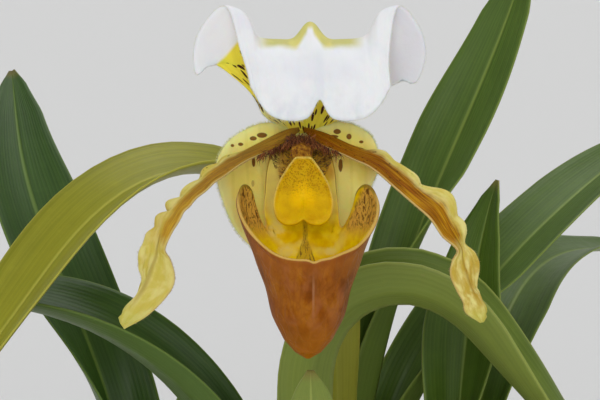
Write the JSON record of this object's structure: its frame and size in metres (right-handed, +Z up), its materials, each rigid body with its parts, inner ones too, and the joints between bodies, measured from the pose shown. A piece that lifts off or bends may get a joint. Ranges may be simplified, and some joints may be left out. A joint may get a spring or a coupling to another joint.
{
  "type": "potted slipper orchid",
  "caption": "Tropical slipper orchid in a plain clay pot: a pouched flower with a folded white hood over arching strap leaves.",
  "frame": {"origin": "centre of the pot's flat bottom, on the surface that it stands on", "axes": "+Z up; the flower faces -Y and looks a little upwards; +X is to the right of someone who looks at it"},
  "size_m": [0.2874, 0.2585, 0.314],
  "materials": {
    "terracotta": "matte",
    "bark_mix": "matte",
    "leaf": "satin",
    "stalk": "matte",
    "bract": "satin",
    "dorsal_sepal": "satin",
    "synsepal": "satin",
    "petal": "satin",
    "pouch": "gloss",
    "staminode": "satin",
    "column": "satin"
  },
  "bodies": {
    "root": {"pot": "terracotta", "potting_mix": "bark_mix", "leaf_main_1": "leaf", "leaf_main_2": "leaf", "leaf_main_3": "leaf", "leaf_main_4": "leaf", "leaf_main_5": "leaf", "leaf_back_1": "leaf", "leaf_back_2": "leaf", "leaf_back_3": "leaf", "leaf_back_4": "leaf", "leaf_back_5": "leaf", "leaf_right_1": "leaf", "leaf_right_2": "leaf", "leaf_right_3": "leaf", "leaf_right_4": "leaf", "leaf_left_1": "leaf", "leaf_left_2": "leaf", "leaf_left_3": "leaf", "leaf_left_4": "leaf", "leaf_young_1": "leaf", "leaf_young_2": "leaf", "scape": "stalk", "ovary": "stalk", "bract": "bract", "dorsal_sepal": "dorsal_sepal", "synsepal": "synsepal", "petal_left": "petal", "petal_right": "petal", "pouch": "pouch", "staminode": "staminode", "column": "column"}
  },
  "joints": []
}
